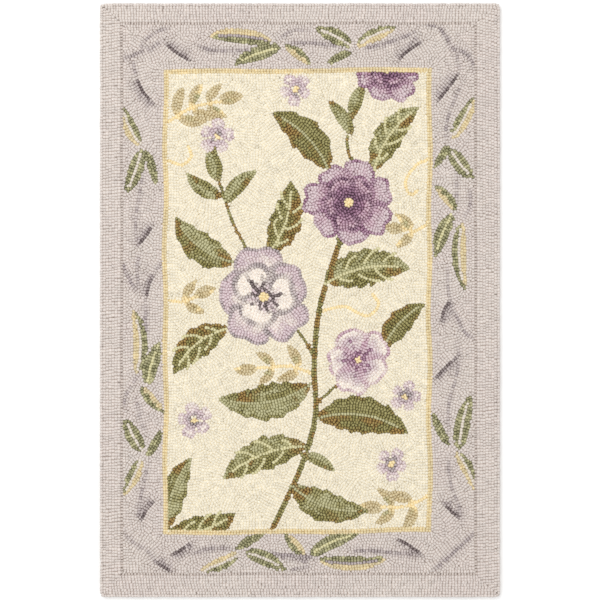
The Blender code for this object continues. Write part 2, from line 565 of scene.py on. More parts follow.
class Drawing:
    """What is drawn on one part of the foundation: areas, and single rows of loops. What is drawn later
    lies over what was drawn before, and every row of loops then echoes the nearest outline."""

    def __init__(self, outline, hole, ground, piece, sizes, beside):
        """Draws the ground inside the outline and round the hole. Beside are loops that stand next to it."""
        self.spacing, self.row_spacing, self.beside = sizes.loop_spacing, sizes.row_spacing, beside
        self.low = outline.min(axis=0) - CHART_MARGIN
        shape = np.ceil((outline.max(axis=0) + CHART_MARGIN - self.low) / CELL).astype(int)
        self.labels = np.full((shape[1], shape[0]), OUTSIDE, np.int16)
        self.motifs = [Motif(ground, piece)]
        self.rows = []
        self._mark(outline, GROUND)
        if hole is not None:
            self._mark(hole, OUTSIDE)

    def _window(self, low, high):
        """The part of the chart between two corners, and the places of its cells."""
        limit = np.array(self.labels.shape[::-1])
        first = np.clip(np.floor((low - self.low) / CELL).astype(int), 0, limit)
        last = np.clip(np.ceil((high - self.low) / CELL).astype(int) + 1, first, limit)
        x, y = np.meshgrid(np.arange(first[0], last[0]), np.arange(first[1], last[1]))
        window = (slice(first[1], last[1]), slice(first[0], last[0]))
        return window, np.stack([x, y], axis=2) * CELL + self.low

    def _mark(self, outline, label, keep_outside=False):
        """Gives the cells inside the outline this label, strip by strip."""
        low, high = outline.min(axis=0), outline.max(axis=0)
        strips = np.arange(low[1], high[1] + CHART_STRIP, CHART_STRIP)
        for bottom, top in zip(strips[:-1], strips[1:]):
            window, cells = self._window(np.array([low[0], bottom]), np.array([high[0], top - CELL]))
            part = self.labels[window]
            if part.size == 0:
                continue
            within = inside(outline, cells.reshape(-1, 2)).reshape(part.shape)
            if keep_outside:
                within &= part != OUTSIDE
            part[within] = label

    def _cells(self, points):
        """Row and column of the cell that each point is in."""
        column, row = np.round((points - self.low) / CELL).astype(int).T
        height, width = self.labels.shape
        return np.clip(row, 0, height - 1), np.clip(column, 0, width - 1)

    def _noted(self, yarn, piece):
        """Notes a motif and gives its label."""
        self.motifs.append(Motif(yarn, piece))
        return len(self.motifs) - 1

    def area(self, outline, yarn, piece):
        """Draws a closed area."""
        self._mark(outline, self._noted(yarn, piece), keep_outside=True)

    def row(self, path, yarn, piece):
        """Draws one row of loops along a path."""
        label = self._noted(yarn, piece)
        half = self.row_spacing / 2
        for first in range(0, len(path) - 1, STEPS_AT_A_TIME):
            part = path[first : first + STEPS_AT_A_TIME + 1]
            window, cells = self._window(part.min(axis=0) - half, part.max(axis=0) + half)
            labels = self.labels[window]
            apart = measured_from(part, cells.reshape(-1, 2))[0].reshape(labels.shape)
            labels[(apart < half) & (labels != OUTSIDE)] = label
        at, way = evenly(path, self.spacing)
        self.rows.append((at, way, np.full(len(at), label)))

    def _gaps(self, points, reach, chance):
        """Places at least this far from every loop, the emptiest first and no two too near each other."""
        marks = np.zeros(self.labels.shape, np.int8)
        marks[self._cells(points)] = 1
        empty = distance_to_change(marks, int(np.ceil(1.6 * reach / CELL))) * CELL
        empty[self.labels == OUTSIDE] = 0
        row, column = np.nonzero(empty > reach)
        places = np.stack([column, row], axis=1) * CELL + self.low
        if not len(places):
            return places
        toss = 1e-5 * chance.random(len(places))  # decides between equals
        rank = np.argsort(np.argsort(toss - empty[row, column]))
        return places[thinned(places, rank, reach)]

    def _laid_out(self, depth, chance):
        """Loops of the rows drawn one by one, and then of the rows that echo the outlines, from the outlines
        inwards, as far as there is room: their places, ways and labels, and whether their row was drawn."""
        row = self.row_spacing
        points, way = rows_on_levels(depth, np.arange(row / 2, depth.max(), row), self.spacing / CELL)
        points = points * CELL + self.low
        label = self.labels[self._cells(points)]
        rank = depth[self._cells(points)] / row
        at, line_way, line_label = (np.concatenate(part) for part in zip(*self.rows))
        shows = self.labels[self._cells(at)] == line_label
        points = np.vstack([at[shows], points])
        way = np.concatenate([line_way[shows], way])
        label = np.concatenate([line_label[shows], label])
        rank = np.concatenate([np.full(shows.sum(), -1.0), rank])
        toss = 1e-4 * chance.random(len(rank))  # decides between equals
        rank = np.argsort(np.argsort(rank + toss))
        stays = thinned(points, rank, CROWDED * row) & (label != OUTSIDE)
        return [part[stays] for part in (points, way, label, rank < shows.sum())]

    def _filled(self, depth, points, way, label, fixed, chance):
        """Adds single loops where room is left and nudges all loops, some rounds of each by turns."""
        row = self.row_spacing
        slope = np.gradient(softened(depth, 6))
        for reach, rounds in FILLING:
            spare = self._gaps(points, reach * row, chance)
            cells = self._cells(spare)
            points = np.vstack([points, spare])
            way = np.concatenate([way, np.arctan2(slope[0][cells], slope[1][cells]) + np.pi / 2])
            label = np.concatenate([label, self.labels[cells]])
            fixed = np.concatenate([fixed, np.zeros(len(spare), bool)])
            edge = depth[self._cells(points)] < EDGE_DEPTH * row
            across = np.where(fixed, 1.0, np.where(edge, EDGE_HOLD, 0.0))
            hold = np.stack([np.where(fixed, DRAWN_HOLD, 0.0), across], axis=1)
            points = settled(points, way, self.spacing, row, hold, rounds)
        return points, way, label

    def hooked(self, seed):
        """Loops for the whole drawing, by piece."""
        chance = np.random.default_rng(seed)
        depth = softened(distance_to_change(self.labels, ECHO_REACH)) * CELL
        depth[self.labels == OUTSIDE] = 0
        points, way, label = self._filled(depth, *self._laid_out(depth, chance), chance)
        sway = UNEVENNESS * chance.standard_normal((len(points), 2)).clip(-2, 2)
        points += sway[:, :1] * heading(way)
        points += sway[:, 1:] * left_of(heading(way))
        points, room = fitted(points, way, self.spacing, self.row_spacing, self.beside)
        inner = depth[self._cells(points)]
        found = {}
        for number in np.unique(label):
            motif = self.motifs[number]
            these = label == number
            dyes = motif.yarn(points[these], inner[these], chance)
            found.setdefault(motif.piece, []).append(Loops(points[these], way[these], room[these], dyes))
        return {piece: joined(parts) for piece, parts in found.items()}


def joined(parts):
    """Several groups of loops as one."""
    return Loops(*(np.concatenate(part) for part in zip(*parts)))


# ---------------------------------------------------------------- yarns: which dye each loop gets


def solid(colour):
    """One dye."""

    def yarn(points, depth, chance):
        return np.tile(np.array(colour), (len(points), 1))

    return yarn


def mixed(colours, shares, patch, seed, speckle=0.45):
    """Several dyes in patches: loops are ordered by a smooth uneven value with some chance in it, and each
    dye takes its share of that order."""

    def yarn(points, depth, chance):
        value = drift(points, patch, seed + 7) + speckle * chance.standard_normal(len(points))
        share = (np.argsort(np.argsort(value)) + 0.5) / len(points)
        pick = np.searchsorted(np.cumsum(shares) / np.sum(shares), share)
        return np.array(colours)[np.minimum(pick, len(colours) - 1)]

    return yarn


def blended(first, second, patch, seed, speckle=0.3):
    """Two dye lots that run into each other over this size, and unevenly from loop to loop."""

    def yarn(points, depth, chance):
        t = 0.5 + 0.5 * drift(points, patch, seed) + speckle * chance.standard_normal(len(points))
        t = np.clip(t, 0, 1)[:, None]
        return np.array(first) * (1 - t) + np.array(second) * t

    return yarn


Stroke = namedtuple("Stroke", "path dye strength width soft_width soft_side")
STROKE_REACH = 2.2  # in widths
STROKE_ENDS = 0.15  # the share of its strength that a stroke keeps to its ends
STROKE_SPECKLE = 0.4


def shaded(ground, strokes):
    """The ground's yarn, with strokes of other dyes that fade into it. At distance d from a stroke's path
    the share of its dye is its strength times exp(-(d / width) squared), with another width on its soft
    side. It fades over the last sixth of the path at both ends and is uneven from loop to loop."""

    def yarn(points, depth, chance):
        colour = np.array(ground(points, depth, chance))
        for stroke in strokes:
            margin = STROKE_REACH * max(stroke.width, stroke.soft_width)
            low, high = stroke.path.min(axis=0) - margin, stroke.path.max(axis=0) + margin
            near = ((points > low) & (points < high)).all(axis=1)
            if not near.any():
                continue
            apart, along, side = measured_from(stroke.path, points[near])
            width = np.where(side == stroke.soft_side, stroke.soft_width, stroke.width)
            fade = np.clip(np.minimum(along, 1 - along) * 6, STROKE_ENDS, 1)
            share = stroke.strength * fade * np.exp(-((apart / width) ** 2))
            share = np.clip(share * (1 + STROKE_SPECKLE * chance.standard_normal(len(share))), 0, 1)
            colour[near] += share[:, None] * (np.array(stroke.dye) - colour[near])
        return colour

    return yarn


def halved(spine, left, right):
    """One yarn to the left of the leaf's midrib and another to its right."""

    def yarn(points, depth, chance):
        side = measured_from(spine, points)[2]
        return np.where((side > 0)[:, None], left(points, depth, chance), right(points, depth, chance))

    return yarn


def between(value, stops, colours):
    """Dyes mixed in steps: at each stop the yarn has its colour, and between two stops a mix of theirs."""
    colours = np.array(colours)
    return np.stack([np.interp(value, stops, colours[:, k]) for k in range(3)], axis=1)


# A leaf's shade, from 0 to 1: of its lit and its other half, how far patches change it, how far rows at the
# rim and in the middle of each half do, and the shades of the three dyes. Then how far up the leaf the
# foot's dye goes and from where it comes again, each with the length over which it fades, as shares
LIT_SHADE, DIM_SHADE = 0.2, 0.55
PATCH_SHADE, ROW_SHADE = 0.22, 0.3
SHADE_STOPS = (0.1, 0.5, 0.9)
FOOT_END, FOOT_FADE = 0.16, 0.08
TIP_START, TIP_FADE = 0.5, 0.15


def blade(spine, lit, light, middle, deep, foot, row, seed):
    """A shaded leaf. Its shade goes from light through middle to deep: the half that the light falls on is
    lighter, the outermost row darker, the rows in the middle of each half lighter, and all of it uneven.
    The foot has a dye of its own, which comes again in patches of the darker half towards the tip."""

    def yarn(points, depth, chance):
        apart, along, side = measured_from(spine, points)
        patch = drift(points, 12 * MM, seed) + 0.25 * chance.standard_normal(len(points))
        shade = np.where(side == lit, LIT_SHADE, DIM_SHADE) + PATCH_SHADE * patch
        shade += ROW_SHADE * ((depth < row) & (apart > 2 * row)) - ROW_SHADE * (depth > 2 * row)
        colour = between(shade, SHADE_STOPS, [light, middle, deep])
        at_foot = np.clip((FOOT_END - along + FOOT_FADE * patch) / FOOT_FADE, 0, 1)
        near_tip = np.clip((along - TIP_START) / TIP_FADE, 0, 1) * (side != lit)
        share = np.maximum(at_foot, near_tip * np.clip(1.6 * patch, 0, 1))[:, None]
        return colour * (1 - share) + np.array(foot) * share

    return yarn


# On the way out from a flower's centre, as shares of its radius: where the ring's three dyes are, from where
# the rim's dye shows, how far all rays go together, and over what lengths rim and rays fade
PETAL_STOPS = (0.22, 0.5, 0.8)
RIM_START, RIM_FADE = 0.25, 0.2
RAYS_START, RAY_FADE = 0.18, 0.12


def petal(centre, radius, middle, half, ring, row, seed):
    """A petal's dyes. By the way out from the flower's centre they go from the ring's inner dye to its
    middle and outer one, and the row along the petal's rim has the rim's. Rays run out from the centre, the
    longest in the middle of the petal. All of it is a little uneven."""

    def yarn(points, depth, chance):
        offset = points - centre
        out = np.linalg.norm(offset, axis=1) / radius
        patch = drift(points, 11 * MM, seed)
        out += 0.10 * patch + 0.03 * chance.standard_normal(len(points))
        colour = between(out, PETAL_STOPS, [ring.inner, ring.middle, ring.outer])
        at_rim = (depth < row) * np.clip(0.6 + 0.4 * patch, 0, 1)
        share = at_rim * np.clip((out - RIM_START) / RIM_FADE, 0, 1)
        colour += share[:, None] * (np.array(ring.rim) - colour)
        turn = np.angle(np.exp(1j * (np.arctan2(offset[:, 1], offset[:, 0]) - middle))) / half
        fan = 0.5 + 0.5 * np.cos(math.pi * ring.rays * turn)
        reach = RAYS_START + ring.ray_reach * fan**1.5 * (1 - 0.4 * np.abs(turn))
        speckle = 0.9 + 0.2 * chance.standard_normal(len(points))
        share = np.clip((reach - out) / RAY_FADE * speckle, 0, 1)
        return colour + share[:, None] * (np.array(ring.ray) - colour)

    return yarn


# ---------------------------------------------------------------- motifs

LEAF_LEAN = 0.85  # below 1, leaves are widest nearer to their base than to their tip
BITE = 0.24  # the share of a leaf's width that a tooth takes off
VEIN_REACH = 0.40  # how far a side vein goes, as a share of the leaf's width in the middle
# Where side veins leave the midrib, as numbers of its points, and to which side, 1 for its left
VEINS = ((8, 1), (5, -1), (15, 1), (12, -1), (22, 1), (19, -1))
LEAFLET_WAY = (0.74, 0.68)  # how far a leaflet goes on and aside, as shares of its length
LEAFLET_WIDTH = 0.38  # as a share of its length


def leaf_outline(spine, width, fullness=0.8, teeth=0):
    """A lance-shaped leaf: at u along the spine it is width times sin(pi * u to the power of its lean), to
    the power of fullness, across, pointed at both ends. Teeth bite it like those of a saw."""
    u = np.linspace(0, 1, len(spine))
    half = width / 2 * np.sin(np.pi * u**LEAF_LEAN).clip(0) ** fullness
    if teeth:
        half = half * (1 - BITE * (u * teeth % 1))
    side = normals(spine) * half[:, None]
    return np.vstack([spine + side, (spine - side)[-2:0:-1]])


def border_leaf(drawing, part, yarns):
    """A leaf of two halves, with a row between them where there is a yarn for it."""
    spine = midrib(part, 15)
    halves = halved(spine, yarns[part.left], yarns[part.right])
    drawing.area(leaf_outline(spine, part.width * MM, 0.55), halves, "border_leaf_loops")
    if part.slit is not None:
        drawing.row(spine[1:-2], yarns[part.slit], "border_leaf_loops")


def large_leaf(drawing, part, spine, yarn, vein):
    """A large leaf with a midrib, and where it is veined with side veins that leave it forwards."""
    width = part.width * MM
    drawing.area(leaf_outline(spine, width, teeth=part.teeth), yarn, "leaf_loops")
    drawing.row(spine[:-4:2], vein, "leaf_loops")
    side, way = normals(spine), unit(np.gradient(spine, axis=0))
    for i, hand in VEINS if part.veined else ():
        reach = VEIN_REACH * width * math.sin(math.pi * (i / (len(spine) - 1)) ** LEAF_LEAN)
        foot = spine[i] + hand * 0.25 * reach * side[i]
        end = spine[i] + hand * reach * side[i] + 1.1 * reach * way[i]
        drawing.row(bowed(foot, end, 0.1 * hand, 5), vein, "leaf_loops")


def petal_outline(centre, radius, middle, half, ripple):
    """A rounded petal: at t from -1 to 1 across it, its rim stands at radius times 1 - 0.34 * |t| cubed, with
    a shallow notch in the middle and a light ripple, and both its sides run to the centre."""
    t = np.linspace(-1, 1, 25)
    out = 1 - 0.34 * np.abs(t) ** 3 - 0.06 * np.exp(-((t / 0.2) ** 2)) + 0.025 * np.sin(7 * t + ripple)
    angle = middle + half * t
    rim = centre + radius * out[:, None] * heading(angle)
    return np.vstack([centre[None], rim])


def spray(drawing, path, leaflets, size, stem, shade):
    """A thin stem with leaflets in pairs along it and one at its tip. Shade gives a leaflet's yarn from its
    midrib and the side that the light falls on."""
    drawing.row(path, stem, "spray_loops")
    side, way = normals(path), unit(np.gradient(path, axis=0))
    for k in range(leaflets):
        u = (k + 0.8) / (leaflets + 0.3)
        i = int(u * (len(path) - 1))
        for hand in (1, -1):
            reach = size * (1 - 0.3 * u)
            foot = path[i] + 1.2 * MM * hand * side[i]
            tip = path[i] + reach * (LEAFLET_WAY[0] * way[i] + LEAFLET_WAY[1] * hand * side[i])
            spine = bowed(foot, tip, 0.08 * hand)
            drawing.area(leaf_outline(spine, LEAFLET_WIDTH * reach), shade(spine, hand), "spray_loops")
    spine = bowed(path[-1], path[-1] + 0.8 * size * way[-1], 0.05)
    drawing.area(leaf_outline(spine, 0.4 * size), shade(spine, 1), "spray_loops")


# ---------------------------------------------------------------- the border's pattern, in millimetres

# Where the leaf starts and ends, how wide it is, how far it bows to its left as a share of its length,
# which yarns its left and right halves have, and the yarn of the row between them
BorderLeaf = namedtuple("BorderLeaf", "base tip width bow left right slit")
BORDER_LEAVES = (
    # head
    BorderLeaf((-36, 328), (-116, 335), 19, -0.05, "green", "gold", "ribbon"),
    BorderLeaf((-24, 321), (-83, 300), 18, -0.04, "green", "green", "vein"),
    BorderLeaf((-19, 323), (14, 298), 13, 0.05, "green", "gold", None),
    BorderLeaf((66, 322), (19, 345), 19, -0.05, "green", "green", "slit"),
    BorderLeaf((66, 315), (34, 299), 10, -0.06, "green", "green", None),
    BorderLeaf((72, 323), (123, 346), 16, 0.06, "green", "gold", "slit"),
    # right
    BorderLeaf((192, 205), (221, 258), 17, -0.03, "green", "gold", "slit"),
    BorderLeaf((188, 198), (170, 168), 10, 0.03, "green", "green", None),
    BorderLeaf((191, 193), (220, 155), 19, -0.05, "green", "green", "slit"),
    BorderLeaf((198, 113), (170, 146), 13, -0.06, "gold", "green", None),
    BorderLeaf((194, 110), (172, 55), 18, -0.05, "green", "green", "vein"),
    BorderLeaf((206, 99), (210, 13), 18, -0.07, "gold", "green", "slit"),
    BorderLeaf((202, -190), (217, -121), 20, 0.04, "green", "green", "slit"),
    BorderLeaf((189, -184), (168, -142), 11, 0.03, "green", "green", None),
    BorderLeaf((199, -192), (223, -242), 15, 0.05, "green", "gold", "slit"),
    # foot
    BorderLeaf((-80, -316), (-45, -297), 11, 0.05, "green", "green", None),
    BorderLeaf((-77, -322), (-128, -344), 16, 0.04, "green", "gold", "slit"),
    BorderLeaf((-70, -320), (-19, -342), 19, 0.05, "green", "green", "slit"),
    BorderLeaf((6, -324), (-19, -296), 14, 0.03, "green", "gold", None),
    BorderLeaf((13, -323), (74, -297), 18, 0.06, "green", "green", "vein"),
    BorderLeaf((25, -330), (111, -328), 18, -0.06, "green", "gold", "ribbon"),
    # left
    BorderLeaf((-202, 196), (-226, 247), 17, 0.05, "gold", "green", "slit"),
    BorderLeaf((-201, 191), (-220, 136), 19, 0.02, "green", "green", "slit"),
    BorderLeaf((-196, 190), (-183, 146), 11, 0.04, "green", "green", None),
    BorderLeaf((-208, -95), (-212, -12), 18, -0.09, "gold", "green", "slit"),
    BorderLeaf((-194, -109), (-178, -52), 19, 0.04, "green", "green", "vein"),
    BorderLeaf((-202, -109), (-172, -142), 13, -0.05, "gold", "green", None),
    BorderLeaf((-199, -193), (-222, -150), 19, 0.03, "green", "green", "slit"),
    BorderLeaf((-194, -198), (-176, -164), 11, -0.04, "green", "green", None),
    BorderLeaf((-202, -201), (-225, -248), 16, 0.03, "gold", "green", "slit"),
)

# How strong the ribbon's dye is where it isn't soft and where it is, and those of the dashes' shading and
# of the dashes, and how wide each is, on its plain side and on its soft side
RIBBON_SHARE = (0.9, 0.55)
RIBBON_WIDTHS = (3 * MM, 3 * MM)
SHADING_SHARE, SHADING_WIDTHS = 0.9, (2 * MM, 9 * MM)
DASH_SHARE, DASH_WIDTHS = 1.0, (1.6 * MM, 2.4 * MM)

# The winding ribbon. A soft stretch has less of the ribbon's dye
Ribbon = namedtuple("Ribbon", "soft knots")
RIBBONS = (
    Ribbon(False, ((-229, 305), (-213, 311), (-190, 320), (-172, 331))),
    Ribbon(True, ((-205, 318), (-192, 334), (-178, 342), (-162, 346))),
    Ribbon(False, ((-133, 325), (-108, 317), (-63, 318), (-37, 324))),
    Ribbon(True, ((-30, 330), (-10, 342), (17, 342))),
    Ribbon(False, ((-18, 327), (23, 326), (58, 320))),
    Ribbon(False, ((76, 319), (97, 323), (127, 332), (150, 343))),
    Ribbon(
        False,
        ((150, 349), (163, 350), (176, 346), (185, 335), (194, 320), (208, 315), (218, 304), (222, 288)),
    ),
    Ribbon(True, ((199, 315), (202, 292))),
    Ribbon(True, ((206, 279), (199, 260), (190, 238), (185, 216), (187, 200))),
    Ribbon(True, ((198, 164), (199, 140), (199, 119))),
    Ribbon(True, ((215, 145), (216, 122), (207, 101))),
    Ribbon(True, ((187, 46), (188, 20), (190, 0))),
    Ribbon(False, ((190, -10), (201, -25), (207, -38), (221, -50))),
    Ribbon(True, ((197, -44), (202, -70), (198, -99), (190, -126), (188, -152), (191, -182))),
    Ribbon(True, ((190, -196), (189, -218), (194, -242), (202, -262), (204, -285))),
    Ribbon(False, ((225, -291), (217, -300), (204, -312), (190, -325), (178, -336), (165, -345))),
    Ribbon(False, ((157, -325), (142, -323), (113, -320), (84, -318), (61, -320))),
    Ribbon(True, ((14, -333), (-5, -329), (-28, -326))),
    Ribbon(False, ((26, -328), (0, -325), (-19, -323), (-53, -320), (-68, -317))),
    Ribbon(True, ((16, -338), (0, -340), (-15, -344))),
    Ribbon(False, ((-83, -317), (-98, -315), (-117, -316), (-137, -322))),
    Ribbon(
        True,
        ((-163, -346), (-174, -339), (-185, -330), (-193, -319), (-207, -310), (-220, -300), (-225, -286)),
    ),
    Ribbon(True, ((-206, -279), (-203, -254), (-198, -232), (-193, -206))),
    Ribbon(True, ((-198, -168), (-203, -148), (-208, -125))),
    Ribbon(True, ((-225, -143), (-223, -127), (-216, -112), (-204, -93))),
    Ribbon(False, ((-196, 6), (-196, -19), (-196, -46), (-200, -68), (-203, -88))),
    Ribbon(False, ((-227, 50), (-221, 36), (-213, 20), (-204, 10))),
    Ribbon(True, ((-203, 62), (-207, 40), (-204, 14))),
    Ribbon(True, ((-175, 48), (-184, 36))),
    Ribbon(True, ((-200, 184), (-201, 152), (-208, 108), (-208, 72))),
    Ribbon(True, ((-213, 308), (-210, 292), (-207, 282))),
    Ribbon(True, ((-229, 300), (-228, 285), (-229, 268))),
)

# Dark strokes on the ribbon, and on which side of the stroke the shading lies, 1 for its left
Dash = namedtuple("Dash", "shade_side knots")
DASHES = (
    Dash(1, ((-171, 326), (-156, 314), (-139, 304))),
    Dash(1, ((124, 303), (134, 314), (157, 330))),
    Dash(-1, ((202, 289), (191, 273), (174, 252))),
    Dash(1, ((191, 1), (183, -13), (178, -30))),
    Dash(1, ((201, -71), (187, -83), (170, -101))),
    Dash(1, ((180, -256), (190, -266), (203, -278))),
    Dash(-1, ((123, -303), (138, -311), (156, -324))),
    Dash(-1, ((-164, -324), (-151, -317), (-137, -307))),
    Dash(1, ((-184, -334), (-174, -338), (-163, -345))),
    Dash(-1, ((-184, -254), (-194, -265), (-202, -280))),
    Dash(-1, ((-184, 33), (-191, 22), (-195, 4))),
    Dash(-1, ((-186, 95), (-197, 80), (-208, 66))),
    Dash(-1, ((-208, 283), (-198, 263), (-183, 247))),
)


# ---------------------------------------------------------------- the field's pattern, in millimetres

# Stems: how wide they are, and their knots
Stem = namedtuple("Stem", "width knots")
STEMS = (
    Stem(3.5, ((19, -75), (2, -45), (-22, -20))),
    Stem(3.5, ((20, -132), (42, -112), (60, -92))),
    Stem(3.5, ((-52, 40), (-84, 96), (-102, 150))),
    Stem(3.5, ((76, 150), (60, 196), (66, 232))),
    Stem(6.4, ((-40, -300), (-24, -268), (4, -205), (20, -145), (18, -85), (24, -15), (44, 55), (60, 100))),
)

# Where a large leaf starts and ends, its width and bow, on which side of its midrib the light falls, how
# many teeth its edge has, whether it is warm, more olive brown than green, and whether it has side veins
LargeLeaf = namedtuple("LargeLeaf", "base tip width bow lit teeth warm veined")
LARGE_LEAVES = (
    LargeLeaf((34, 22), (140, 40), 52, 0.10, 1, 6, False, True),
    LargeLeaf((36, 166), (-36, 238), 46, -0.10, -1, 4, True, False),
    LargeLeaf((94, 164), (152, 246), 40, 0.10, 1, 5, False, True),
    LargeLeaf((-84, 48), (-158, 106), 42, 0.12, -1, 4, False, False),
    LargeLeaf((-40, 60), (-12, 152), 44, -0.10, 1, 5, True, True),
    LargeLeaf((-92, -36), (-160, -94), 42, -0.12, 1, 5, True, True),
    LargeLeaf((12, -108), (-104, -124), 50, 0.12, 1, 6, False, False),
    LargeLeaf((22, -150), (138, -170), 52, 0.12, 1, 6, True, False),
    LargeLeaf((8, -186), (-98, -228), 46, -0.10, -1, 5, False, True),
    LargeLeaf((-10, -236), (86, -266), 44, -0.12, 1, 5, False, False),
    LargeLeaf((106, -60), (158, -4), 34, 0.08, -1, 4, True, False),
    LargeLeaf((-171, -296), (-82, -270), 42, -0.10, 1, 5, True, True),
    LargeLeaf((-170, -292), (-138, -200), 38, 0.08, -1, 4, False, False),
)

# Small leaves beside the stems
SmallLeaf = namedtuple("SmallLeaf", "base tip width bow")
SMALL_LEAVES = (
    SmallLeaf((-98, 132), (-144, 162), 20, 0.10),
    SmallLeaf((-94, 122), (-54, 164), 20, 0.10),
    SmallLeaf((-102, 150), (-112, 200), 20, 0.06),
    SmallLeaf((66, 208), (34, 254), 17, -0.08),
    SmallLeaf((66, 230), (84, 276), 17, 0.08),
    SmallLeaf((4, -196), (44, -218), 15, 0.08),
)

# Thin gold tendrils
TENDRILS = (
    ((24, -15), (56, -8), (84, -20), (100, -6), (92, 8)),
    ((-168, 178), (-150, 172), (-138, 182), (-142, 196)),
    ((161, 178), (146, 170), (134, 150), (140, 134), (150, 140)),
)

# Sprays in tan yarn: knots of the stem, pairs of leaflets and their length
Spray = namedtuple("Spray", "knots leaflets size")
SPRAYS = (
    Spray(((-168, 226), (-138, 244), (-104, 252)), 3, 42),
    Spray(((161, -250), (134, -262), (106, -262)), 2, 42),
    Spray(((-168, 0), (-150, -2), (-134, 4)), 1, 38),
    Spray(((161, 96), (146, 88), (134, 90)), 1, 38),
    Spray(((18, -94), (-14, -84), (-54, -86)), 2, 38),
)

# The rings of petals of each kind of flower, the outer ring first: the ring's share of the flower's radius,
# how many petals, how wide a petal is as a share of its place, the dyes on the way out, those of rims and
# rays, how many rays a petal has and how far they go
Ring = namedtuple("Ring", "share petals spread inner middle outer rim ray rays ray_reach")
RING_DYES = ("inner", "middle", "outer", "rim", "ray")
FLOWER_RINGS = {
    "small": (Ring(1.0, 5, 0.88, "ribbon", "lilac", "pale_lilac", "lilac", "ribbon", 1, 0.22),),
    "open": (
        Ring(1.0, 5, 1.22, "lilac", "pale_lilac", "lilac", "ribbon", "dash", 3, 0.36),
        Ring(0.64, 3, 0.92, "lilac", "pale_lilac", "pale_lilac", "shading", "dash", 3, 0.62),
    ),
    "rosy": (Ring(1.0, 5, 1.22, "rose_lilac", "lilac", "pale_lilac", "rose_lilac", "plum", 3, 0.45),),
    "full": (
        Ring(1.0, 7, 1.22, "plum", "rose_lilac", "lilac", "plum", "plum", 2, 0.50),
        Ring(0.60, 5, 1.22, "deep_plum", "plum", "rose_lilac", "deep_plum", "deep_plum", 2, 0.45),
    ),
}

LEAST_HEART, HEART_SHARE = 3.6, 0.11  # the radius of a flower's heart, at least, and as a share of its own

# Flowers: the kind, the centre, the radius and how far it is turned, in degrees
Flower = namedtuple("Flower", "kind centre radius turn")
FLOWERS = (
    Flower("full", (112, 294), 44, 200),
    Flower("full", (62, 124), 56, 20),
    Flower("open", (-46, 4), 62, 100),
    Flower("rosy", (74, -76), 42, 40),
    Flower("small", (-106, 208), 23, 10),
    Flower("small", (-6, 268), 21, 50),
    Flower("small", (-134, -152), 23, 30),
    Flower("small", (134, -122), 20, 0),
    Flower("small", (116, -208), 21, 60),
)


# ---------------------------------------------------------------- meshes

# The outline of a loop at several heights, from the top down: how far its end corners and its side corners
# reach, counted in half cells, and how deep that is, counted in heights. Inside the rug the flanks reach
# out under the neighbours, so that the loops close up, with deeper valleys between two loops of a row than
# between rows, most of all in the straight rows of the outer band and in the dark row inside it. At the edge
# a loop is rounder and goes down to the foundation
INNER_LEVELS = ((0.74, 0.90, 0.06), (1.75, 1.95, 0.52))
BAND_LEVELS = ((0.77, 0.95, 0.06), (1.78, 2.0, 0.52))
LINE_LEVELS = ((0.60, 0.96, 0.09), (1.55, 2.0, 0.52))
LINE_DROP = 0.3 * MM  # the dark row is pulled a little shorter than the rest
EDGE_LEVELS = ((0.74, 1.00, 0.05), (1.50, 1.14, 0.30), (1.40, 1.00, 0.75))

# The corners of a foot's face in the strip: how far along its own part of the strip, and whether at its top
STRIP = ((0.5, 1), (1, 0), (0, 0))
STRIP_HEIGHT = 0.12
CAP_REACH = 0.42  # of the rings round the top, laid flat, from their middle
CAP_MIDDLE = np.array([0.5, 0.58])
FLAT_LOOP = 2.4 * MM  # the width of one loop's skin, laid flat, in the map of the whole rug

# How unlike each other loops are: the spread of their length, width and height, of their lean, as a slope,
# of their direction, in radians, and of their tone
SIZE_SPREAD = np.array([0.03, 0.04, 0.02])
LEAN_SPREAD = 0.03
TURN_SPREAD = 0.05
TONE_SPREAD = 0.03
SHORTER = 0.03  # by this share of their height loops are lowered, so that few reach the rug's top
SUNK = 0.4 * MM  # how far a loop's foot goes into the cloth


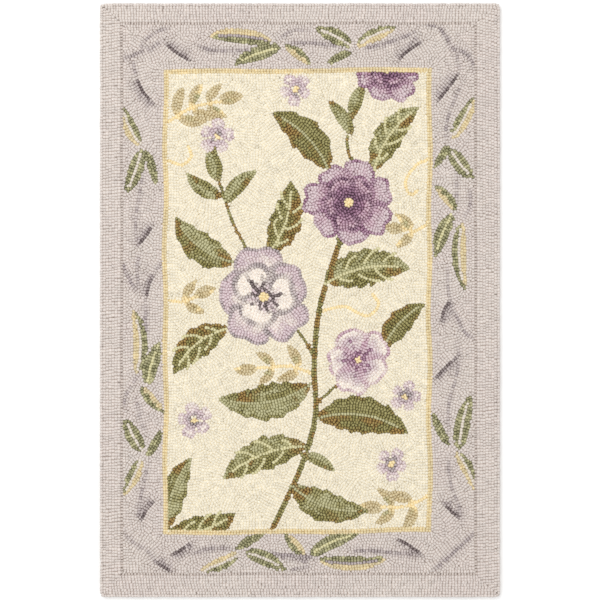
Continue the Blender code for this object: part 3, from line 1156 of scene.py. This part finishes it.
def loop_shape(levels):
    """One loop, 1 tall, in half cells along and across: at each level the eight corners stand out in their
    own directions by that level's reach, and the skin closes to a point at the top and at the foot.

    Returns the points, the corner that each point belongs to (8 for top and foot), each point's place along
    and around the strand, the four-cornered and three-cornered faces, and for each face corner its place on
    the skin laid flat: the levels as rings round the top, and the foot's faces in a strip beside them.
    """
    sides, rings = len(CORNERS), len(levels)
    steep = np.abs(CORNERS[:, 0]) > np.abs(CORNERS[:, 1])
    outline = [np.where(steep, end, side)[:, None] * CORNERS for end, side, _ in levels]
    heights = np.repeat([1 - down for _, _, down in levels], sides)
    points = np.vstack([np.column_stack([np.vstack(outline), heights]), [(0, 0, 1), (0, 0, 0)]])
    corner = np.concatenate([np.tile(np.arange(sides), rings), [sides, sides]])
    strand = np.column_stack([points[:, 0] / 2 + 0.5, points[:, 1] * math.pi / 2])
    ring, k = (part.ravel() for part in np.meshgrid(np.arange(rings - 1), np.arange(sides), indexing="ij"))
    after = (k + 1) % sides
    upper, lower = ring * sides, (ring + 1) * sides
    four = np.stack([upper + k, lower + k, lower + after, upper + after], 1)
    angle = np.append(CORNER_ANGLES, CORNER_ANGLES[0] + 2 * math.pi)
    compass = heading(angle)
    inner, outer = (CAP_REACH * (ring + step)[:, None] / rings for step in (1, 2))
    four_at = [inner * compass[k], outer * compass[k], outer * compass[k + 1], inner * compass[k + 1]]
    k = np.arange(sides)
    after = (k + 1) % sides
    top, foot, last = rings * sides, rings * sides + 1, (rings - 1) * sides
    at_top, at_foot = (0 * k + top, k, after), (0 * k + foot, last + after, last + k)
    three = np.vstack([np.stack(at_top, 1), np.stack(at_foot, 1)])
    near, far = CAP_REACH * compass[k] / rings, CAP_REACH * compass[k + 1] / rings
    cap = np.stack([0 * near, near, far], 1) + CAP_MIDDLE
    strip = [np.stack([(k + step) / sides, STRIP_HEIGHT * flag + 0 * k], 1) for step, flag in STRIP]
    three_at = np.vstack([cap, np.stack(strip, 1)])
    return points, corner, strand, four, three, np.stack(four_at, 1) + CAP_MIDDLE, three_at


def build_loops(name, loops, sizes, seed, levels, low):
    """A mesh with one copy of the loop's shape at each place. A copy's points are the shape's, times
    length, width and height, each corner drawn out or in to the room it has, leaned over by a small slope
    of its own, turned to its row and put down on the foundation, low metres lower than the rest."""
    chance = np.random.default_rng(seed)
    shape, corner, strand, four, three, four_at, three_at = loop_shape(levels)
    count = len(loops.at)
    size = np.array([sizes.loop_spacing / 2, sizes.row_spacing / 2, RUG_TOP - sizes.cloth + SUNK - low])
    stretch = 1 + SIZE_SPREAD * chance.standard_normal((count, 3)).clip(-2, 2)
    stretch[:, 2] = np.minimum(stretch[:, 2] - SHORTER, 1)
    local = shape[None] * (stretch * size)[:, None]
    local[:, :, :2] *= np.column_stack([loops.room, np.ones(count)])[:, corner, None]
    lean = LEAN_SPREAD * chance.standard_normal((count, 2)).clip(-2, 2)
    local[:, :, :2] += local[:, :, 2:] * lean[:, None]
    way = loops.way + TURN_SPREAD * chance.standard_normal(count).clip(-2, 2)
    cosine, sine = np.cos(way)[:, None], np.sin(way)[:, None]
    x = loops.at[:, :1] + local[:, :, 0] * cosine - local[:, :, 1] * sine
    y = loops.at[:, 1:] + local[:, :, 0] * sine + local[:, :, 1] * cosine
    z = sizes.cloth - SUNK + local[:, :, 2]
    x, y = x.clip(-HALF_WIDTH, HALF_WIDTH), y.clip(-HALF_LENGTH, HALF_LENGTH)
    start = np.arange(count)[:, None, None] * len(shape)
    faces = ((four[None] + start).reshape(-1, 4), (three[None] + start).reshape(-1, 3))
    mesh = meshed(name, np.stack([x, y, z], axis=2).reshape(-1, 3), faces)
    dyes = np.ones((count, len(shape), 4), np.float32)
    tone = 1 + TONE_SPREAD * chance.standard_normal(count)
    dyes[:, :, :3] = np.clip(loops.dye * tone[:, None], 0, 1)[:, None]
    mesh.attributes.new("dye", "FLOAT_COLOR", "POINT").data.foreach_set("color", dyes.ravel())
    twist = np.zeros((count, len(shape), 3), np.float32)
    twist[:, :, 0] = strand[:, 0] + chance.random(count)[:, None]
    twist[:, :, 1:] = heading(strand[:, 1])
    mesh.attributes.new("strand", "FLOAT_VECTOR", "POINT").data.foreach_set("vector", twist.ravel())
    whole = 2 * HALF_SIZE
    middle = (loops.at / whole + 0.5)[:, None, None]
    flat = [(middle + (part[None] - 0.5) * FLAT_LOOP / whole).reshape(-1, 2) for part in (four_at, three_at)]
    layer = mesh.uv_layers.new(name="OFBake")
    layer.uv.foreach_set("vector", np.clip(np.vstack(flat), 0, 1).astype(np.float32).ravel())
    return mesh


def meshed(name, points, faces):
    """A smooth mesh of points and of arrays of faces, each array with one number of corners."""
    mesh = bpy.data.meshes.new(name)
    mesh.vertices.add(len(points))
    mesh.vertices.foreach_set("co", points.astype(np.float32).ravel())
    corners = np.concatenate([part.ravel() for part in faces])
    totals = np.concatenate([np.full(len(part), part.shape[1]) for part in faces])
    mesh.loops.add(len(corners))
    mesh.loops.foreach_set("vertex_index", corners.astype(np.int32))
    mesh.polygons.add(len(totals))
    mesh.polygons.foreach_set("loop_start", (np.cumsum(totals) - totals).astype(np.int32))
    mesh.update(calc_edges=True)
    mesh.shade_smooth()
    return mesh


def drawn_in(points, half, radius):
    """Points in the square corners of an oblong are drawn in to a quarter circle: there, the larger of the
    two distances past the circle's centre becomes the distance from it."""
    past = np.abs(points) - (half - radius)
    in_corner = (past > 0).all(axis=1)
    shrink = past.max(axis=1) / np.maximum(np.linalg.norm(past, axis=1), TINY)
    nearer = np.sign(points) * (half - radius + past * shrink[:, None])
    return np.where(in_corner[:, None], nearer, points)


# The cloth: how far in from its edge the first lines of its grid lie, how far inside the hem the even ones
# start, and that there is one for each such length in half of its width, and of its length. Then how much
# higher its underside lies where it is single, over what width it rises there, and how far the folded edge
# stands out
EDGE_LINES = np.array([0, 2, 5, 10, 15]) * MM
EVEN_START = 8 * MM
CLOTH_GRID = 6 * MM
SINGLE_LIFT = 0.7 * MM
HEM_STEP = 0.6 * MM
FOLD_BULGE = 0.9 * MM


def cloth_mesh(sizes):
    """The foundation: a grid of points for its face, the same grid for its underside, and five rings round
    the folded edge between them. The underside lies on the floor as far as the hem goes, and higher beyond
    it, where the cloth is single. The ring at angle a round the fold stands out by the fold's bulge times
    sin a."""
    half = HALF_SIZE - sizes.hem_inset
    hem = sizes.hem_width
    lines = []
    for reach in half:
        inner = np.linspace(-reach + hem + EVEN_START, reach - hem - EVEN_START, round(reach / CLOTH_GRID))
        stops = np.append(EDGE_LINES, [hem - 0.4 * MM, hem, hem + HEM_STEP, hem + 3 * MM])
        lines.append(np.concatenate([stops - reach, inner, reach - stops[::-1]]))
    x, y = np.meshgrid(*lines)
    rows, columns = x.shape
    flat = np.stack([x.ravel(), y.ravel()], axis=1)
    depth = (half - np.abs(flat)).min(axis=1)
    lift = SINGLE_LIFT * np.clip((depth - hem) / HEM_STEP, 0, 1)
    flat = drawn_in(flat, half, CORNER_RADIUS)
    number = np.arange(rows * columns).reshape(rows, columns)
    rim = np.concatenate([number[0, :-1], number[:-1, -1], number[-1, :0:-1], number[:0:-1, 0]])
    outward = unit(flat[rim] - flat[rim].clip(-(half - CORNER_RADIUS), half - CORNER_RADIUS))
    points = [np.column_stack([flat, np.full(len(flat), sizes.cloth)]), np.column_stack([flat, lift])]
    rings = [rim]
    for angle in np.radians([30, 60, 90, 120, 150]):
        ring = flat[rim] + FOLD_BULGE * math.sin(angle) * outward
        rings.append(np.arange(len(rim)) + sum(len(part) for part in points))
        points.append(np.column_stack([ring, np.full(len(rim), sizes.cloth / 2 * (1 + math.cos(angle)))]))
    rings.append(rim + len(flat))
    face = np.stack([number[:-1, :-1], number[:-1, 1:], number[1:, 1:], number[1:, :-1]], axis=2)
    face = face.reshape(-1, 4)
    faces = [face, face[:, ::-1] + len(flat)]
    for upper, lower in zip(rings[:-1], rings[1:]):
        faces.append(np.stack([upper, lower, np.roll(lower, -1), np.roll(upper, -1)], axis=1))
    return meshed("foundation_cloth", np.vstack(points), [np.vstack(faces)])


def placed(name, mesh, material):
    """Puts a finished mesh in the scene, riding on the rug's body."""
    obj = bpy.data.objects.new(name, mesh)
    bpy.context.scene.collection.objects.link(obj)
    obj.data.materials.append(material)
    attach(obj, BODY)
    return obj


def place_piece(name, loops, sizes, seed, levels, low=0.0):
    """Makes one piece of these loops."""
    placed(name, build_loops(name, loops, sizes, seed, levels, low), yarn_material())


def place_loops(found, sizes, seed, levels=INNER_LEVELS):
    """Makes a piece of each group of loops, or several, from the head down, where the group is large."""
    for number, (name, loops) in enumerate(sorted(found.items())):
        parts = math.ceil(len(loops.at) / LOOPS_TO_A_PIECE)
        order = np.array_split(np.argsort(-loops.at[:, 1], kind="stable"), parts)
        for k, these in enumerate(order):
            piece = f"{name}_{k + 1}" if parts > 1 else name
            part = Loops(*(array[these] for array in loops))
            place_piece(piece, part, sizes, seed + 10 * number + k, levels)


# ---------------------------------------------------------------- materials


def sums(operation, turned=False):
    """A sum of a socket and another value, or of the socket alone. Turned round, the other comes first."""

    def method(self, other=0.0):
        first, second = (other, self) if turned else (self, other)
        return self.finish.node("ShaderNodeMath", {"operation": operation}, {0: first, 1: second})

    return method


class Value:
    """A shader socket that takes part in sums. Each sum adds a Math node."""

    def __init__(self, finish, socket):
        self.finish = finish
        self.socket = socket

    __add__ = __radd__ = sums("ADD")
    __sub__ = sums("SUBTRACT")
    __rsub__ = sums("SUBTRACT", turned=True)
    __mul__ = __rmul__ = sums("MULTIPLY")
    __lt__ = sums("LESS_THAN")
    __gt__ = sums("GREATER_THAN")
    __abs__ = sums("ABSOLUTE")
    lesser = sums("MINIMUM")
    sine = sums("SINE")
    cosine = sums("COSINE")


class Finish:
    """A material as it is being made."""

    def __init__(self, name):
        self.material = bpy.data.materials.new(name)
        self.material.use_nodes = True
        self.tree = self.material.node_tree
        self.shader = self.tree.nodes["Principled BSDF"]

    def node(self, kind, settings=None, values=None, output=0):
        """Adds a node of this kind: its settings are made first, then its sockets are set or linked."""
        node = self.tree.nodes.new(kind)
        for name, setting in (settings or {}).items():
            setattr(node, name, setting)
        for key, value in (values or {}).items():
            self.feed(node.inputs[key], value)
        return Value(self, node.outputs[output])

    def feed(self, socket, value):
        """Links a value to the socket, or sets the socket itself to a constant."""
        if isinstance(value, Value):
            self.tree.links.new(value.socket, socket)
        else:
            socket.default_value = value

    def mix(self, share, first, second, how="MIX"):
        """Two colours mixed by a share of the second."""
        settings = {"data_type": "RGBA", "blend_type": how}
        return self.node("ShaderNodeMix", settings, {0: share, 6: first, 7: second}, output=2)

    def ramp(self, value, start, end):
        """0 up to start and 1 from end on, and evenly between."""
        return self.node("ShaderNodeMapRange", {"clamp": True}, {0: value, 1: start, 2: end})

    def place(self):
        """The point on the piece, and its x, y and z."""
        point = self.node("ShaderNodeTexCoord", output="Object")
        parts = self.node("ShaderNodeSeparateXYZ", values={0: point}).socket.node.outputs
        return point, *(Value(self, part) for part in parts)

    def surface(self, colour, height, relief, roughness):
        """Feeds the shader: its colour, the height of its relief in metres at 1, and its roughness."""
        bump = self.node("ShaderNodeBump", values={"Height": height, "Distance": relief, "Strength": 1.0})
        self.feed(self.shader.inputs["Base Color"], colour)
        self.feed(self.shader.inputs["Normal"], bump)
        self.feed(self.shader.inputs["Roughness"], roughness)


# The yarn: how many times its plies turn in one loop, how fine its fibres are, between what depths below
# the rug's top the painted shade between the loops comes in, and between what shares of green a dye comes
# to count as pale, and gets a painted glow there in place of painted shade
PLY_TURNS = 3
FIBRES = 1900.0
PAINTED_SHADE_DEPTHS = (0.45 * MM, 1.75 * MM)
PALE = (0.7, 0.8)

# The cloth: from one thread to the next, the length of a stitch and of the gap after it, how far the row
# of stitches is from the hem's inner edge, and how far to each side it and the mitre go
THREAD_SPACING = 1.5 * MM
STITCH_LENGTH = 2.6 * MM
STITCH_INSET = 1.5 * MM
STITCH_REACH = 0.4 * MM
MITRE_REACH = 0.5 * MM
THREAD_DYE = dyed(236, 228, 208)


def yarn_finish():
    """Woollen yarn in the loop's own dye. Deep between the loops painted shade stands in for light that has
    passed from yarn to yarn: the dye is taken there as if twice, and more so the darker it is, while the
    palest yarns get a painted glow and are a little brighter there. Plies run round the strand, their
    grooves a little darker by painted shade, and fine fibres fleck it."""
    finish = Finish("dyed_wool")
    point, _, _, z = finish.place()
    dye_colour = finish.node("ShaderNodeAttribute", {"attribute_name": "dye"}, output="Color")
    strand = finish.node("ShaderNodeAttribute", {"attribute_name": "strand"}, output="Vector")
    along, level, aside = finish.node("ShaderNodeSeparateXYZ", values={0: strand}).socket.node.outputs
    turn = Value(finish, along) * (2 * math.pi * PLY_TURNS)
    plies = turn.cosine() * Value(finish, level) - turn.sine() * Value(finish, aside)
    fibres = finish.node("ShaderNodeTexNoise", values={"Vector": point, "Scale": FIBRES, "Detail": 2.0})
    # painted shade mask: 0 near the rug's top, 1 deep between the loops
    deep = finish.ramp(z, *(RUG_TOP - depth for depth in PAINTED_SHADE_DEPTHS))
    green = finish.node("ShaderNodeSeparateColor", values={0: dye_colour}, output=1)
    # painted glow for pale yarns deep between the loops, and painted shade in the plies' grooves
    tone = 0.95 + 0.1 * fibres + 0.025 * plies + deep * finish.ramp(green, *PALE) * 0.09
    colour = finish.node("ShaderNodeVectorMath", {"operation": "SCALE"}, {0: dye_colour, "Scale": tone})
    # painted shade: deep between the loops the colour is multiplied by itself, more so for darker dyes
    colour = finish.mix((2.6 * (PALE[1] - green) * deep).lesser(0.9), colour, colour, "MULTIPLY")
    finish.surface(colour, 0.5 * plies + fibres, 0.25 * MM, 0.95)
    finish.shader.inputs["Specular IOR Level"].default_value = 0.2
    finish.shader.inputs["Sheen Weight"].default_value = 0.08
    finish.shader.inputs["Sheen Roughness"].default_value = 0.6
    return finish.material


def cloth_finish(sizes, dyes):
    """Plain weave: threads go over and under by turns, with painted shade darkening the weave between the
    threads. The turned hem has a mitre across each corner and a row of stitches along its inner edge."""
    finish = Finish("foundation_cotton")
    point, x, y, _ = finish.place()
    turn = math.pi / THREAD_SPACING
    across, along = (x * turn).sine(), (y * turn).sine()
    over = across * along > 0
    weave = over * abs(across) + (1 - over) * abs(along)
    slubs = finish.node("ShaderNodeTexNoise", values={"Vector": point, "Scale": 90.0, "Detail": 4.0})
    from_side, from_end = HALF_WIDTH - abs(x), HALF_LENGTH - abs(y)
    depth = from_side.lesser(from_end)
    beside = from_side < from_end
    run = beside * y + (1 - beside) * x
    line = abs(depth - (sizes.hem_width - STITCH_INSET)) < STITCH_REACH
    stitch = line * ((run * (math.pi / STITCH_LENGTH)).sine() > -0.2)
    mitre = (abs(from_side - from_end) < MITRE_REACH) * (depth < sizes.hem_width)
    # a darker cotton: used for painted shade between the threads, and as the colour of slubs and of the mitre
    shade = tuple(0.72 * value for value in dyes.cloth)
    # painted shade where the threads dip between each other
    colour = finish.mix(finish.ramp(weave, 0.1, 0.8), (*shade, 1), (*dyes.cloth, 1))
    colour = finish.mix(0.5 * finish.ramp(slubs, 0.35, 0.75), colour, (*shade, 1))
    colour = finish.mix(mitre * 0.5, colour, (*shade, 1))
    colour = finish.mix(stitch, colour, (*THREAD_DYE, 1))
    finish.surface(colour, weave + 0.6 * stitch - 0.8 * mitre, 0.4 * MM, 0.9)
    return finish.material


def floor_finish():
    """A plain pale floor, seen through from below so that the rug's underside can be looked at."""
    finish = Finish("pale_floor")
    finish.shader.inputs["Base Color"].default_value = (0.92, 0.92, 0.92, 1)
    finish.shader.inputs["Roughness"].default_value = 0.9
    finish.shader.inputs["Specular IOR Level"].default_value = 0.1
    below = finish.node("ShaderNodeNewGeometry", output="Backfacing")
    clear = finish.node("ShaderNodeBsdfTransparent")
    face = Value(finish, finish.shader.outputs[0])
    both = finish.node("ShaderNodeMixShader", values={0: below, 1: face, 2: clear})
    finish.feed(finish.tree.nodes["Material Output"].inputs["Surface"], both)
    return finish.material


def yarn_material():
    """The yarn's material, made once and shared by all the loops."""
    return bpy.data.materials.get("dyed_wool") or yarn_finish()


# ---------------------------------------------------------------- groups of loops

# In the outer band, loops creep along their row, several together, in two waves of so many millimetres and
# such a length. They also stray each for itself, by this much along the row and less across it
BAND_CREEP = ((0.9, 26 * MM, 12), (0.5, 10 * MM, 14))
BAND_STRAY, STRAY_LIMIT, STRAY_ACROSS = 0.32 * MM, 0.6 * MM, 0.45


def band_rows(sizes):
    """The rows of the outer band: for each side, rows from the edge inwards, each shorter than the one
    before so that the corners are mitred and loops stand in line across the rows. Returns places, ways and
    each loop's row counted from the edge, with the dark row as -1."""
    depth = {side.name: np.linspace(FIRST_ROW_DEPTH, side.line_depth, side.rows) for side in SIDES}
    chance = np.random.default_rng(13)
    at, way, rank = [], [], []
    for side in SIDES:
        facing = np.abs(np.array(side.facing, float))
        along = facing[::-1]
        ends = ("foot", "head") if facing[0] else ("left", "right")
        share = np.linspace(0, 1, side.rows)
        first, last = (np.interp(share, np.linspace(0, 1, len(depth[end])), depth[end]) for end in ends)
        low, high = first - HALF_SIZE @ along, HALF_SIZE @ along - last
        fullest = round((high[0] - low[0]) / sizes.loop_spacing)
        for k in range(side.rows):
            count = fullest - round((low[k] - low[0] + high[0] - high[k]) / sizes.loop_spacing)
            run = low[k] + (np.arange(count) + 0.5) / count * (high[k] - low[k])
            edge = (HALF_SIZE @ facing - depth[side.name][k]) * np.array(side.facing)
            points = run[:, None] * along + edge
            creep = sum(reach * drift(points, span, lot) for reach, span, lot in BAND_CREEP)
            points += creep[:, None] * MM * along
            stray = chance.normal(0, BAND_STRAY, (count, 2)).clip(-STRAY_LIMIT, STRAY_LIMIT)
            points += stray * np.where(along > 0, 1, STRAY_ACROSS)
            at.append(points)
            way.append(np.full(count, math.atan2(along[1], along[0])))
            rank.append(np.full(count, k if k < side.rows - 1 else -1))
    at = drawn_in(wavered(np.vstack(at)), HALF_SIZE - FIRST_ROW_DEPTH, CORNER_RADIUS)
    return at, np.concatenate(way), np.concatenate(rank)


def gold_rows(sizes, dyes):
    """Two narrow rows beside each other along the gold frame, their loops level with each other, and a loop
    in each outer corner."""
    path = gold_frame(0)
    at, way = evenly(path, sizes.loop_spacing)
    normal = left_of(heading(way))
    offsets = (np.arange(GOLD_ROWS) - (GOLD_ROWS - 1) / 2) * GOLD_ROW_WIDTH
    corners = wavered(GOLD_CORNERS + offsets[-1] * np.sign(GOLD_CORNERS))
    at = np.vstack([corners, *(at + offset * normal for offset in offsets)])
    way = np.concatenate([np.zeros(len(corners)), np.tile(way, GOLD_ROWS)])
    stays = thinned(at, np.arange(len(at)), GOLD_CROWDED * GOLD_ROW_WIDTH)
    at, way = at[stays], way[stays]
    at, room = fitted(at, way, sizes.loop_spacing, sizes.row_spacing, most=1.0, rounds=0)
    bright, dull = np.array(dyes.gold), np.array(dyes.gold_leaf)
    yarn = blended(0.7 * bright + 0.3 * dull, 0.3 * bright + 0.7 * dull, 40 * MM, 31)
    return Loops(at, way, room, yarn(at, None, np.random.default_rng(32)))


def border_drawing(sizes, dyes):
    """The border: ground, ribbon, strokes and leaves."""
    ribbons = [(drawn(part.knots), part.soft) for part in RIBBONS]
    dashes = [(drawn(part.knots), part.shade_side) for part in DASHES]
    strokes = [Stroke(path, dyes.ribbon, RIBBON_SHARE[soft], *RIBBON_WIDTHS, 1) for path, soft in ribbons]
    strokes += [Stroke(path, dyes.shading, SHADING_SHARE, *SHADING_WIDTHS, side) for path, side in dashes]
    strokes += [Stroke(path, dyes.dash, DASH_SHARE, *DASH_WIDTHS, side) for path, side in dashes]
    ground = shaded(blended(dyes.band, dyes.band_rose, 45 * MM, 5), strokes)
    outline = line_frame(sizes.row_spacing / 2)[:-1]
    hole = gold_frame(GOLD_ROWS * GOLD_ROW_WIDTH / 2)[:-1]
    at, _, rank = band_rows(sizes)
    beside = np.vstack([at[rank == -1], gold_rows(sizes, dyes).at])
    drawing = Drawing(outline, hole, ground, "border_ground_loops", sizes, beside)
    for path, _ in ribbons + dashes:
        drawing.row(path, ground, "ribbon_loops")
    pale_gold = (np.array(dyes.gold) + dyes.gold_leaf) / 2
    yarns = {
        "green": mixed([dyes.green, dyes.deep_green, dyes.sage], [0.5, 0.25, 0.25], 6 * MM, 1),
        "gold": blended(dyes.gold_leaf, pale_gold, 8 * MM, 2, 0.2),
        "slit": solid(dyes.slit),
        "vein": solid(dyes.vein),
        "ribbon": mixed([dyes.ribbon, dyes.shading], [0.5, 0.5], 6 * MM, 9),
    }
    for part in BORDER_LEAVES:
        border_leaf(drawing, part, yarns)
    return drawing


def draw_flower(drawing, flower, sizes, dyes, number):
    """A flower: its rings of petals, each petal over the one before and a little different in length, and
    its round heart."""
    centre, turn = np.array(flower.centre) * MM, math.radians(flower.turn)
    for step, ring in enumerate(FLOWER_RINGS[flower.kind]):
        colours = {part: getattr(dyes, getattr(ring, part)) for part in RING_DYES}
        ring = ring._replace(**colours)
        half = ring.spread * math.pi / ring.petals
        for k in range(ring.petals):
            middle = turn + 0.5 * step + 2 * math.pi * k / ring.petals
            radius = ring.share * flower.radius * MM * (1 + 0.07 * math.sin(2.4 * k + turn))
            yarn = petal(centre, radius, middle, half, ring, sizes.row_spacing, number + k)
            outline = petal_outline(centre, radius, middle, half, 1.7 * k)
            drawing.area(outline, yarn, "flower_loops")
    rim = heading(np.linspace(0, 2 * np.pi, 14, endpoint=False))
    heart = centre + max(LEAST_HEART, HEART_SHARE * flower.radius) * MM * rim
    drawing.area(heart, solid(dyes.gold), "flower_loops")


def field_drawing(sizes, dyes):
    """The field: cream ground, tendrils, sprays, stems, leaves and flowers."""
    outline = gold_frame(-GOLD_ROWS * GOLD_ROW_WIDTH / 2)[:-1]
    beside = gold_rows(sizes, dyes).at
    drawing = Drawing(outline, None, solid(dyes.cream), "field_ground_loops", sizes, beside)
    gold = solid(dyes.gold)
    row = sizes.row_spacing
    for knots in TENDRILS:
        drawing.row(drawn(knots), gold, "spray_loops")

    def tan(spine, lit):
        """The yarn of one leaflet."""
        return blade(spine, lit, dyes.gold_leaf, dyes.tan, dyes.sage, dyes.gold, row, 4)

    for part in SPRAYS:
        spray(drawing, drawn(part.knots), part.leaflets, part.size * MM, gold, tan)
    stalk = mixed([dyes.olive_brown, dyes.leaf_deep, dyes.leaf_green], [0.4, 0.3, 0.3], 12 * MM, 6)
    for part in STEMS:
        path = drawn(part.knots)
        side = normals(path) * part.width / 2 * MM
        drawing.area(np.vstack([path + side, (path - side)[::-1]]), stalk, "leaf_loops")
    cool = dyes.sage, dyes.leaf_green, dyes.leaf_deep
    warm = dyes.leaf_green, dyes.leaf_deep, dyes.olive_brown
    for number, part in enumerate(LARGE_LEAVES):
        spine = midrib(part, 33)
        yarn = blade(spine, part.lit, *(warm if part.warm else cool), dyes.olive_brown, row, number)
        vein = solid(dyes.vein if part.veined else dyes.sage)
        large_leaf(drawing, part, spine, yarn, vein)
    for number, part in enumerate(SMALL_LEAVES):
        spine = midrib(part)
        yarn = blade(spine, 1, *cool, dyes.olive_brown, row, 40 + number)
        drawing.area(leaf_outline(spine, part.width * MM), yarn, "leaf_loops")
    for number, flower in enumerate(FLOWERS):
        draw_flower(drawing, flower, sizes, dyes, 60 + 10 * number)
    return drawing


# ---------------------------------------------------------------- operators and panel

# The stage. The camera looks straight down, a little off the rug's middle
FLOOR_REACH = 2.0
FLOOR_DROP = 0.3 * MM  # keeps floor and cloth from lying in one plane
DAYLIGHT = 0.95
LAMP_SIZE, LAMP_POWER, LAMP_PLACE = 1.6, 24, (-0.6, 0.7, 2.3)
LENS, SENSOR = 100, 36  # in millimetres
SEEN = 0.7621  # how wide a part of the floor the photograph takes in
CAMERA_SHIFT = 0.3 * MM
CAMERA_RISE = 6 * MM  # above the height from which it would see that much of the floor


def chosen(context):
    """The sizes and dyes that the user has set."""
    return context.scene.rug_sizes, context.scene.rug_dyes


class RUG_OT_stage(bpy.types.Operator):
    """Floor, light and camera"""

    bl_idname = "rug.stage"
    bl_label = "Stage"

    def execute(self, context):
        scene = context.scene
        square = FLOOR_REACH * np.array([(-1, -1), (1, -1), (1, 1), (-1, 1)])
        corners = np.column_stack([square, np.full(4, -FLOOR_DROP)])
        floor = bpy.data.objects.new("floor", meshed("floor", corners, [np.array([[0, 1, 2, 3]])]))
        floor.data.materials.append(floor_finish())
        floor.visible_shadow = False  # daylight from below still reaches the rug's underside
        floor.visible_diffuse = False
        scene.collection.objects.link(floor)
        scene.view_settings.view_transform = "Standard"
        world = bpy.data.worlds.new("studio")
        world.use_nodes = True
        sky = world.node_tree.nodes["Background"].inputs
        sky["Color"].default_value = (1, 1, 1, 1)
        sky["Strength"].default_value = DAYLIGHT
        scene.world = world
        lamp = bpy.data.lights.new("soft_window", "AREA")
        lamp.size = LAMP_SIZE
        lamp.energy = LAMP_POWER
        window = bpy.data.objects.new("soft_window", lamp)
        window.location = LAMP_PLACE
        window.rotation_euler = (-Vector(window.location)).to_track_quat("-Z", "Y").to_euler()
        scene.collection.objects.link(window)
        view = bpy.data.cameras.new("camera")
        view.lens = LENS
        view.sensor_width = SENSOR
        camera = bpy.data.objects.new("camera", view)
        camera.location = (0, CAMERA_SHIFT, SEEN * LENS / SENSOR + CAMERA_RISE)
        scene.collection.objects.link(camera)
        scene.camera = camera
        return {"FINISHED"}


class RUG_OT_foundation(bpy.types.Operator):
    """Foundation cloth with its turned hem"""

    bl_idname = "rug.foundation"
    bl_label = "Foundation cloth"

    def execute(self, context):
        sizes, dyes = chosen(context)
        cloth = placed("foundation_cloth", cloth_mesh(sizes), cloth_finish(sizes, dyes))
        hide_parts(NODE)
        return {"FINISHED"}


class RUG_OT_outer_band(bpy.types.Operator):
    """Plain band of straight rows, and the dark row inside it"""

    bl_idname = "rug.outer_band"
    bl_label = "Outer band"

    def execute(self, context):
        sizes, dyes = chosen(context)
        at, way, rank = band_rows(sizes)
        at, room = fitted(at, way, sizes.loop_spacing, sizes.row_spacing, most=1.1, rounds=0)
        colour = blended(dyes.band, dyes.band_rose, 70 * MM, 4)(at, None, np.random.default_rng(11))
        colour[rank == -1] = dyes.line
        loops = Loops(at, way, room, colour)
        edge, line = (Loops(*(part[rank == k] for part in loops)) for k in (0, -1))
        band = Loops(*(part[rank > 0] for part in loops))
        place_piece("edge_loops", edge, sizes, 101, EDGE_LEVELS)
        place_piece("dark_row_loops", line, sizes, 102, LINE_LEVELS, LINE_DROP)
        place_loops({"outer_band_loops": band}, sizes, 103, BAND_LEVELS)
        return {"FINISHED"}


class RUG_OT_border(bpy.types.Operator):
    """Border of ribbon and leaves"""

    bl_idname = "rug.border"
    bl_label = "Border"

    def execute(self, context):
        sizes, dyes = chosen(context)
        place_loops(border_drawing(sizes, dyes).hooked(21), sizes, 200)
        return {"FINISHED"}


class RUG_OT_gold_row(bpy.types.Operator):
    """Gold frame between border and field"""

    bl_idname = "rug.gold_row"
    bl_label = "Gold row"

    def execute(self, context):
        sizes, dyes = chosen(context)
        place_loops({"gold_row_loops": gold_rows(sizes, dyes)}, sizes, 300)
        return {"FINISHED"}


class RUG_OT_field(bpy.types.Operator):
    """Cream field with leaves and flowers"""

    bl_idname = "rug.field"
    bl_label = "Field"

    def execute(self, context):
        sizes, dyes = chosen(context)
        place_loops(field_drawing(sizes, dyes).hooked(22), sizes, 400)
        return {"FINISHED"}


class RUG_PT_panel(bpy.types.Panel):
    """Everything that makes the rug, in order"""

    bl_idname = "RUG_PT_panel"
    bl_label = "Hooked Rug"
    bl_space_type = "VIEW_3D"
    bl_region_type = "UI"
    bl_category = "Hooked Rug"

    def draw(self, context):
        for group in chosen(context):
            box = self.layout.box()
            for name in group.__annotations__:
                box.prop(group, name)
        for operator in OPERATORS:
            self.layout.operator(operator.bl_idname)


OPERATORS = (RUG_OT_stage, RUG_OT_foundation, RUG_OT_outer_band, RUG_OT_border, RUG_OT_gold_row, RUG_OT_field)
CLASSES = (RugSizes, RugDyes, *OPERATORS, RUG_PT_panel)


def register():
    """Makes the settings, operators and panel known to Blender."""
    for cls in CLASSES:
        bpy.utils.register_class(cls)
    bpy.types.Scene.rug_sizes = bpy.props.PointerProperty(type=RugSizes)
    bpy.types.Scene.rug_dyes = bpy.props.PointerProperty(type=RugDyes)


def unregister():
    """Takes them out again."""
    del bpy.types.Scene.rug_dyes
    del bpy.types.Scene.rug_sizes
    for cls in reversed(CLASSES):
        bpy.utils.unregister_class(cls)


def main():
    """Makes everything in order."""
    register()
    bpy.ops.rug.stage()
    bpy.ops.rug.foundation()
    bpy.ops.rug.outer_band()
    bpy.ops.rug.border()
    bpy.ops.rug.gold_row()
    bpy.ops.rug.field()


if __name__ == "__main__":
    main()
